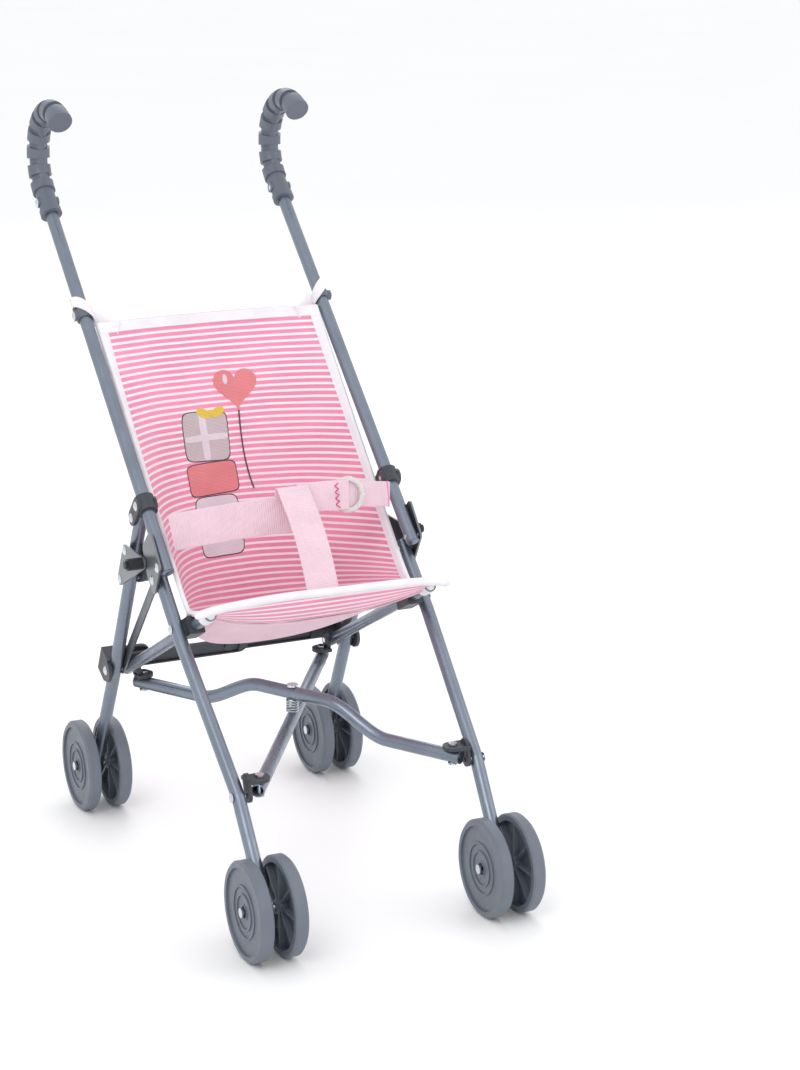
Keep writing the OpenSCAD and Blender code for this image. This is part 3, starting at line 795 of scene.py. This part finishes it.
    def piping(self, finish: bpy.types.Material) -> bpy.types.Object:
        """The round white piping along the front edge, turned up and out over the rails' tips at its ends."""
        v = np.linspace(-1, 1, self.cols)
        path = self.base(np.ones_like(v), v)
        path[:, 0] *= 1.09
        path[:, 2] += 0.0015 - 0.003 * np.abs(v) ** 8
        path[:, 1] -= 0.001 + 0.0015 * np.sin(5 * v) * (1 - v * v)
        section = oval(self.piping_width, self.piping_width, 14)
        taper = np.where(np.abs(v) > 0.99, 0.45, 1.0)[:, None, None]
        points = swept(path, section, (0.0, 0.0, 1.0))
        return piece("front_piping", path[:, None] + (points - path[:, None]) * taper, finish)


@dataclass
class Harness:
    """Waist strap, crotch strap and ring, stretched across the open seat."""

    width: float = 0.025
    thick: float = 0.0014
    end_x: float = 0.0875
    end: tuple[float, float] = (0.0130, 0.2710)
    pull: tuple[float, float] = (-0.0190, 0.0100)
    lean: float = 0.18
    ring_x: float = 0.0470
    ring_radius: float = 0.0118
    ring_section: tuple[float, float] = (0.0042, 0.0030)
    fold_width: float = 0.022
    anchor_width: float = 0.019

    def belt(self, x: np.ndarray) -> np.ndarray:
        """The waist strap's middle line: its middle is drawn forward and up by a parabola.

        Args:
            x: places across the seat.

        Returns:
            The points.
        """
        drop = 1 - (x / self.end_x) ** 2
        return np.stack([x, self.end[0] + drop * self.pull[0], self.end[1] + drop * self.pull[1]], -1)

    def band(self, name: str, path: np.ndarray, width: float, finish, across) -> bpy.types.Object:
        """A length of webbing along a path.

        Args:
            name: the piece's name.
            path: its middle line.
            width: the webbing's width.
            finish: the material.
            across: the direction that its width keeps to.

        Returns:
            The object.
        """
        section = oval(width, self.thick, 22, 7)
        return piece(name, swept(path, section, across), finish)

    def build(self, webbing, edge, thread, ring) -> list[bpy.types.Object]:
        """Makes the straps, their folded ends, the ring and the stitches.

        Args:
            webbing: the straps' material.
            edge: the material of the sewn edges.
            thread: the stitches' material.
            ring: the ring's material.

        Returns:
            The pieces: the waist strap, the crotch strap, then the rest.
        """
        face = np.array([0.0, self.lean, 1.0])
        out = np.array([0.0, -1.0, self.lean])
        x = np.linspace(-self.end_x, 0.010, 60)
        wave = 0.0012 * np.sin(40 * x)
        left = self.belt(x) + out * (0.0008 + wave)[:, None]
        left[:, 2] -= np.linspace(0.0100, 0.0115, len(x))
        waist = self.band("waist_web", left, self.width + 0.002, webbing, face)
        low = np.array([0.002, -0.0600, 0.2215])
        high = self.belt(np.array([0.0]))[0] + [0, -0.0045, 0.0080]
        s = np.linspace(0, 1, 50)
        rise = low + (high - low) * s[:, None] + np.outer(0.004 * np.sin(np.pi * s), [0.3, -0.6, 0.5])
        over = np.array([high + [0, 0.0015, 0.0015], high + [0, 0.0045, 0.001], high + [0, 0.0060, -0.005]])
        crotch_path = np.concatenate([rise, over, [high + [0, 0.0062, -0.022]]])
        crotch = self.band("crotch_web", crotch_path, self.width, webbing, (1.0, 0.0, 0.0))
        rest = []
        x = np.linspace(0.004, self.ring_x, 30)
        for name, lift in (("belt_fold_front", 0.0034), ("belt_fold_back", 0.0008)):
            rest.append(self.band(name, self.belt(x) + out * lift, self.fold_width, webbing, face))
        x = np.linspace(self.ring_x, self.end_x, 30)
        rest.append(self.band("belt_anchor", self.belt(x) + out * 0.0012, self.anchor_width, webbing, face))
        edges = ((0.0098, "belt_end_edge", 0.0275, 0.0115), (0.0860, "anchor_edge", 0.0195, 0))
        for place, name, wide, drop in edges:
            post = self.belt(np.array([place]))[0] + out * 0.0019 - np.array([0, 0, drop])
            path = post + np.linspace(-wide / 2, wide / 2, 12)[:, None] * face
            rest.append(piece(name, swept(path, oval(0.0012, 0.0012, 8), (1, 0, 0)), edge))
        angle = np.arange(64) * 2 * np.pi / 64
        centre = self.belt(np.array([self.ring_x]))[0] + out * 0.0022
        turn = np.cos(angle)[:, None] * [1, 0, 0.0] + np.sin(angle)[:, None] * [0, self.lean, 0.98]
        loop = centre + self.ring_radius * turn
        body = swept(loop, oval(*self.ring_section, 16), loop - centre, closed=True)
        rest.append(piece("strap_ring", body, ring, wrap=(True, True)))
        start = self.belt(np.array([self.ring_x - 0.0105]))[0] + out * 0.0046
        zig = np.linspace(0, 1, 33)
        teeth = 0.0016 * (np.abs((zig * 8) % 2 - 1) * 2 - 1)
        path = start + teeth[:, None] * [1, 0, 0] + ((zig - 0.5) * 0.018)[:, None] * face
        rest.append(piece("zigzag_seam", swept(path, oval(0.0009, 0.0008, 8), out), thread))
        return [waist, crotch, *rest]


@dataclass
class Motif:
    """A plain printed picture on the back: a heart balloon on a string over a stack of parcels."""

    sling: Sling

    def patch(
        self,
        name: str,
        outline: np.ndarray,
        centre: tuple[float, float],
        lift: float,
        finish: bpy.types.Material,
    ) -> bpy.types.Object:
        """A thin print that lies on the cloth: rings that shrink from the outline to its centre.

        Args:
            name: the piece's name.
            outline: the outline's points about its centre, across and down, in millimetres.
            centre: its centre across and down from the top, in millimetres.
            lift: its height over the cloth.
            finish: the material.

        Returns:
            The object.
        """
        share = np.concatenate([np.linspace(0.02, 1, 12), np.linspace(1, 0.02, 12)])
        height = self.sling.cloth / 2 + np.where(np.arange(24) < 12, lift, -0.0004)
        flat = outline[None] * share[:, None, None] + np.array(centre)
        t = flat[..., 1] * MM / self.sling.length
        v = flat[..., 0] * MM / self.sling.top_x
        points = self.sling.point(t, v, np.broadcast_to(height[:, None], t.shape))
        return piece(name, points, finish, uv=flat * MM)

    def box(self, name: str, size: tuple[float, float], centre, fill, ink, tilt: float) -> list:
        """A parcel: a rounded square with an ink line round it.

        Args:
            name: the name of the print.
            size: its width and height in millimetres.
            centre: its centre across and down from the top, in millimetres.
            fill: its material.
            ink: the line's material.
            tilt: its turn in radians.

        Returns:
            The line's object, then the fill's.
        """
        turn = turned(tilt)
        shape = oval(*size, 72, 7) @ turn
        rim = oval(size[0] + 1.5, size[1] + 1.5, 72, 7) @ turn
        return [
            self.patch(f"{name}_ink", rim, centre, 0.00012, ink),
            self.patch(name, shape, centre, 0.00026, fill),
        ]

    def heart(self) -> np.ndarray:
        """A heart: across is the cube of a sine, and up is a sum of four cosines.

        Returns:
            The outline's points, in millimetres.
        """
        a = np.arange(96) * 2 * np.pi / 96
        across = 16 * np.sin(a) ** 3
        up = 13 * np.cos(a) - 5 * np.cos(2 * a) - 2 * np.cos(3 * a) - np.cos(4 * a)
        return np.stack([across, -up], -1) * 1.12

    def build(self) -> list[bpy.types.Object]:
        """Makes the balloon, its string, the parcels and the bow.

        Returns:
            The objects.
        """
        colours = {"ink": "4b4548", "coral": "e58a8e", "grey": "c9bcbf", "pale": "e3d8e0", "gold": "e3c552"}
        ink, coral, grey, pale, gold = (Woven(f"print_{k}", linear(c)).make() for k, c in colours.items())
        made = [self.patch("balloon", self.heart(), (16, 60), 0.0003, coral)]
        made.append(self.patch("balloon_shine", oval(4, 8, 24), (8, 54), 0.00042, pale))
        s = np.linspace(0, 1, 40)
        across = 16 - 1.5 * np.sin(2.6 * s) + 4 * s**3
        down = 79 + 62 * s
        t, v = down * MM / self.sling.length, across * MM / self.sling.top_x
        path = self.sling.point(t, v, np.full(t.shape, self.sling.cloth / 2 + 0.0004))
        made.append(piece("balloon_string", swept(path, oval(0.0011, 0.0009, 8), (1, 0, 0)), ink))
        parcels = (
            ("top", (38, 38), 97, grey, 0.05),
            ("middle", (43, 24), 130, coral, -0.03),
            ("bottom", (38, 46), 167, pale, 0.0),
        )
        for word, size, low, fill, tilt in parcels:
            made += self.box(f"parcel_{word}", size, (-15, low), fill, ink, tilt)
        made.append(self.patch("ribbon_down", oval(6, 37, 24, 6), (-16, 97), 0.0004, pale))
        made.append(self.patch("ribbon_over", oval(37, 5, 24, 6), (-15, 98), 0.0005, pale))
        for k, turn in ((-1, 0.5), (1, -0.5)):
            loop = oval(12, 7, 32, 2.5) @ turned(turn)
            made.append(self.patch(f"bow_{k + 1}", loop, (-8 + 6 * k, 79), 0.0005, gold))
        made.append(self.patch("bow_knot", oval(4.5, 4.5, 24), (-8, 79), 0.0006, gold))
        return made


# ---------------------------------------------------------------- metal pieces of smooth shape


@dataclass
class CrossTubes:
    """The X of cross tubes; the upper one rises over the lower one in a smooth hump."""

    radius: float = 0.005
    wall: float = 0.001
    tail: float = 0.007
    hump: float = 0.020
    flat: float = 0.030
    foot: float = 0.085

    def build(self, name: str, rear_side: Side, hump: float, finish) -> bpy.types.Object:
        """One tube: a ring section, outside then bore, carried along the line between its end bolts.

        Args:
            name: the tube's node in the frame, which it stands for.
            rear_side: the side of its rear end.
            hump: the rise at the middle.
            finish: the material.

        Returns:
            The object.
        """
        front_side = Side.LEFT if rear_side is Side.RIGHT else Side.RIGHT
        a = joint_place(f"{name}_turn")
        b = joint_place(f"front_clevis_{front_side.word}_turn")
        ahead = unit(b - a)
        flat = np.array([1.0, 0.0, 0.0])
        lift = unit(np.cross(ahead, flat) if ahead[0] > 0 else np.cross(flat, -ahead))
        lift = lift if lift[2] > 0 else -lift
        reach = np.linalg.norm(b - a) / 2
        s = np.linspace(-reach - self.tail, reach + self.tail, 120)
        ramp = np.clip((self.foot - np.abs(s)) / (self.foot - self.flat), 0, 1)
        rise = hump * ramp * ramp * (3 - 2 * ramp)
        path = (a + b) / 2 + s[:, None] * ahead + rise[:, None] * lift
        outer = swept(path, oval(2 * self.radius, 2 * self.radius, 28), lift)
        bore = swept(path, oval(2 * (self.radius - self.wall), 2 * (self.radius - self.wall), 28), lift)
        made = piece(f"{name}_smooth", np.concatenate([outer, bore[::-1]]), finish, wrap=(True, True))
        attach(made, name)
        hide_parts(name)
        return made


@dataclass(frozen=True)
class TubeEnd:
    """The closed lower end of a handle tube: a shallow dome pressed into the bore."""

    line: HandleLine
    radius: float = 0.0040
    dome: float = 0.0016
    depth: float = 0.006

    def build(self, side: Side, finish) -> bpy.types.Object:
        """Turns the plug's profile, a quarter ellipse and a straight skirt, about the tube's line.

        Args:
            side: the side.
            finish: the material.

        Returns:
            The object.
        """
        low, _ = (np.array(c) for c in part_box(f"handle_tube_{side.word}"))
        reach = (low[2] + 0.005 * math.cos(self.line.slope) - self.line.foot[1]) / self.line.up[1]
        end = np.array([self.line.tube_x * side.value, *self.line.at(reach, 0)])
        a = np.linspace(0.05, np.pi / 2, 9)
        radii = np.concatenate([np.sin(a), [1.0]]) * self.radius
        rise = np.concatenate([-np.cos(a) * self.dome, [self.depth]])
        turn = (np.arange(28) * 2 * np.pi / 28)[None, :, None]
        up3, back3 = np.array([0, *self.line.up]), np.array([0, *self.line.back])
        ring = np.cos(turn) * np.array([1.0, 0, 0]) + np.sin(turn) * back3
        points = end + radii[:, None, None] * ring + rise[:, None, None] * up3
        made = piece(f"tube_end_{side.word}", points, finish)
        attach(made, f"handle_{side.word}")
        return made


@dataclass
class Coil:
    """The coil spring between the cross tubes: a helix whose end turns lie flat."""

    turns: float = 5.5
    wire: float = 0.0014

    def build(self, finish: bpy.types.Material) -> bpy.types.Object:
        """The spring inside the box of its CAD node, on the cross tubes' own normal.

        Args:
            finish: the material.

        Returns:
            The object.
        """
        low, high = (np.array(c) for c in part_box("coil_spring"))
        centre, tall = (low + high) / 2, float(high[2] - low[2])
        radius = float(high[0] - low[0]) / 2 - self.wire / 2
        s = np.linspace(0, 1, 420)
        angle = s * self.turns * 2 * np.pi
        rise = np.clip((s * self.turns - 0.8) / (self.turns - 1.6), 0, 1) - 0.5
        height = rise * (tall - self.wire * 1.3)
        path = centre + np.stack([radius * np.cos(angle), radius * np.sin(angle), height], -1)
        made = piece("coil_spring_wire", swept(path, oval(self.wire, self.wire, 10), (0, 0, 1)), finish)
        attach(made, "cross_tube_upper")
        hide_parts("coil_spring")
        return made


# ---------------------------------------------------------------- assembly


@dataclass
class Seat:
    """All the soft goods: the sling with its tapes and print, the harness, the corner loops and pockets."""

    line: HandleLine
    pocket_radius: float = 0.0050
    loop_radius: float = 0.0068
    loop_up: float = 0.2335

    def corner_loop(self, side: Side, finish) -> bpy.types.Object:
        """A white loop round the handle tube: a slanting ring of tape, low at the seat and high outside.

        Args:
            side: the side.
            finish: the material.

        Returns:
            The object.
        """
        a = np.arange(48) * 2 * np.pi / 48
        up3 = np.array([0, *self.line.up])
        back3 = np.array([0, *self.line.back])
        centre = np.array([self.line.tube_x * side.value, *self.line.at(self.loop_up, 0)])
        out = np.array([side.value, 0, 0])
        path = centre + self.loop_radius * (np.cos(a)[:, None] * out + np.sin(a)[:, None] * back3)
        path += (0.0075 * np.cos(a) + 0.001)[:, None] * up3
        body = swept(path, oval(0.0085, 0.0014, 16, 5), np.broadcast_to(up3, path.shape), closed=True)
        return piece(f"corner_loop_{side.word}", body, finish, wrap=(True, True))

    def corner_flap(self, side: Side, finish) -> bpy.types.Object:
        """The white corner that joins the top band to the loop: a tapering strip up to the tube.

        Args:
            side: the side.
            finish: the material.

        Returns:
            The object.
        """
        s = np.linspace(0, 1, 24)
        sign = side.value
        low = np.array([0.074 * sign, *self.line.at(0.2150, 0.001)])
        high = np.array([0.0915 * sign, *self.line.at(0.2310, 0.0005)])
        path = low + (high - low) * s[:, None]
        path[:, 2] -= 0.003 * np.sin(np.pi * s)
        width = (0.013 - 0.003 * s)[:, None, None]
        body = swept(path, oval(1.0, 0.0, 16, 3), (0, 0.35, 1.0))
        thick = swept(path, oval(0.0, 0.003, 16, 3), (0, 0.35, 1.0))
        points = path[:, None] + (body - path[:, None]) * width + (thick - path[:, None])
        return piece(f"corner_flap_{side.word}", points, finish)

    def pocket(self, side: Side, finish) -> bpy.types.Object:
        """The white pocket over a seat rail's tip: a capsule along the rail, closed at its front.

        Args:
            side: the side.
            finish: the material.

        Returns:
            The object.
        """
        low, high = (np.array(c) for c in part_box(f"seat_rail_{side.word}"))
        rear = joint_place(f"seat_rail_{side.word}_turn")
        middle_x = (low[0] + high[0]) / 2
        tip = np.array([middle_x, low[1] + 0.002, high[2] - 0.004])
        ahead = unit(tip - np.array([middle_x, rear[1], rear[2]]))
        s = np.linspace(0, 1, 26)
        path = tip + ahead * (0.0010 - 0.0140 * (1 - s))[:, None]
        swell = np.sqrt(np.clip(1 - np.clip((s - 0.68) / 0.33, 0, 1) ** 2, 0, 1))
        section = oval(2, 2, 18)
        rings = swept(path, section, (1, 0, 0)) - path[:, None]
        points = path[:, None] + rings * (self.pocket_radius * swell)[:, None, None]
        return piece(f"rail_pocket_{side.word}", points, finish)

    def fold_away(self, made: bpy.types.Object) -> None:
        """Hangs a piece on the seat's body and gives it a mesh of its own.

        Args:
            made: the piece.
        """
        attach(made, "seat")
        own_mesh(made)

    def build(self, ring: bpy.types.Material) -> None:
        """Makes and places every soft piece.

        Args:
            ring: the harness ring's material.
        """
        sling = Sling(self.line)
        cloth, tape, lining = CLOTH.make(), TAPE.make(), LINING.make()
        half = sling.cloth / 2
        rows, cols = np.linspace(0, 1, sling.rows), np.linspace(-1, 1, sling.cols)
        body, area = sling.sheet("sling_cloth", rows, cols, (half, -half), cloth)
        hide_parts("seat_sling")
        lower = np.linspace(sling.crease_t - 0.03, 0.95, 60)
        panel, _ = sling.sheet("seat_lining", lower, cols * 0.93, (-half - 0.0001, -half - 0.0013), lining)
        trim = [sling.edge_tape(side, tape) for side in Side]
        trim.append(sling.top_tape("top_band", 0.0088, tape))
        trim.append(sling.piping(tape))
        v = np.linspace(-0.93, 0.93, 60)
        hem = sling.point(np.full(60, lower[0]), v, np.full(60, -half - 0.0010))
        trim.append(piece("lining_hem", swept(hem, oval(0.005, 0.0028, 14, 3), (0.0, -0.6, 1.0)), tape))
        trim += Motif(sling).build()
        webbing = WEBBING.make()
        harness = Harness().build(webbing, STRAP_EDGE.make(), THREAD.make(), ring)
        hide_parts("waist_strap")
        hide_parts("crotch_strap")
        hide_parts("harness_ring")
        for made in [body, panel, *trim, *harness]:
            self.fold_away(made)
        for side in Side:
            for made in (self.corner_loop(side, tape), self.corner_flap(side, tape)):
                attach(made, f"handle_{side.word}")
            pocket = self.pocket(side, tape)
            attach(pocket, f"seat_rail_{side.word}")
        LOG.info("sling: %.0f mm long, %.4f m2", sling.length * 1000, area)


def dress_frame() -> None:
    """Gives every CAD node the finish of its material slot."""
    made = {slot: finish.make() for slot, finish in CAD_FINISHES.items()}
    spare = {"seat_cloth": CLOTH, "webbing": WEBBING}
    for part in frame["record"]["subparts"]:
        node, slot = frame["nodes"][part["node"]], part["material_slot"]
        if slot not in made:
            made[slot] = spare[slot].make()
        node.data.materials.clear()
        node.data.materials.append(made[slot])
        node.data.polygons.foreach_set("material_index", np.zeros(len(node.data.polygons), np.int32))
    CrossTubes().build("cross_tube_upper", Side.RIGHT, CrossTubes.hump, made["tube_steel"])
    CrossTubes().build("cross_tube_lower", Side.LEFT, 0.0, made["tube_steel"])
    Coil().build(made["spring_steel"])
    for side in Side:
        TubeEnd(HandleLine()).build(side, made["tube_steel"])
    Seat(HandleLine()).build(made["ring_plastic"])


@dataclass(frozen=True)
class Studio:
    """Pale floor, soft light and the camera."""

    azimuth: float = math.radians(-24.93)
    elevation: float = math.radians(14.84)
    roll: float = math.radians(-0.36)
    place: tuple[float, float, float] = (-0.7300, -1.7659, 0.7575)
    lens: float = 89.8

    def camera(self) -> None:
        """Makes the camera from its direction, roll and place."""
        az, el = self.azimuth, self.elevation
        back = Vector((math.sin(az) * math.cos(el), -math.cos(az) * math.cos(el), math.sin(el)))
        right = (-back).cross(Vector((0, 0, 1))).normalized()
        up = right.cross(-back)
        c, s = math.cos(self.roll), math.sin(self.roll)
        axes = (c * right + s * up, c * up - s * right, back)
        data = bpy.data.cameras.new("camera")
        data.lens, data.sensor_width = self.lens, 36.0
        data.clip_end = 100.0
        made = bpy.data.objects.new("camera", data)
        made.matrix_world = Matrix.Translation(self.place) @ Matrix(axes).transposed().to_4x4()
        bpy.context.scene.collection.objects.link(made)
        bpy.context.scene.camera = made

    def light(self, name: str, place: tuple[float, float, float], size: float, power: float) -> None:
        """A square soft light aimed at the seat.

        Args:
            name: the light's name.
            place: where it hangs.
            size: its side.
            power: its power in watts.
        """
        data = bpy.data.lights.new(name, "AREA")
        data.energy, data.size = power, size
        made = bpy.data.objects.new(name, data)
        made.location = place
        made.rotation_mode = "QUATERNION"
        made.rotation_quaternion = (Vector((0, 0, 0.25)) - Vector(place)).to_track_quat("-Z", "Y")
        bpy.context.scene.collection.objects.link(made)

    def build(self) -> None:
        """Makes the floor, the lights and the camera."""
        shader = Shader("floor", linear("fbfbfb"), 0.6)
        shader.mottle(0.01, 2)
        mesh = bpy.data.meshes.new("floor")
        half = 60.0
        corners = [(-half, -half, 0), (half, -half, 0), (half, half, 0), (-half, half, 0)]
        mesh.from_pydata(corners, [], [(0, 1, 2, 3)])
        mesh.materials.append(shader.material)
        floor = bpy.data.objects.new("floor", mesh)
        bpy.context.scene.collection.objects.link(floor)
        world = bpy.data.worlds.new("studio")
        world.use_nodes = True
        sky = next(n for n in world.node_tree.nodes if n.type == "BACKGROUND")
        sky.inputs["Color"].default_value = (0.985, 0.99, 1.0, 1.0)
        sky.inputs["Strength"].default_value = 1.02
        bpy.context.scene.world = world
        bpy.context.scene.view_settings.view_transform = "Standard"
        self.light("key", (-1.6, -1.7, 2.3), 1.6, 20.0)
        self.light("fill", (1.9, -1.2, 1.5), 1.8, 8.0)
        self.light("rim", (0.6, 2.0, 1.9), 1.4, 11.0)
        self.camera()


def main() -> None:
    """Builds the scene."""
    logging.basicConfig(level=logging.INFO, format="%(name)s: %(message)s")
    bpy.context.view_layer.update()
    dress_frame()
    Studio().build()


if __name__ == "__main__":
    main()
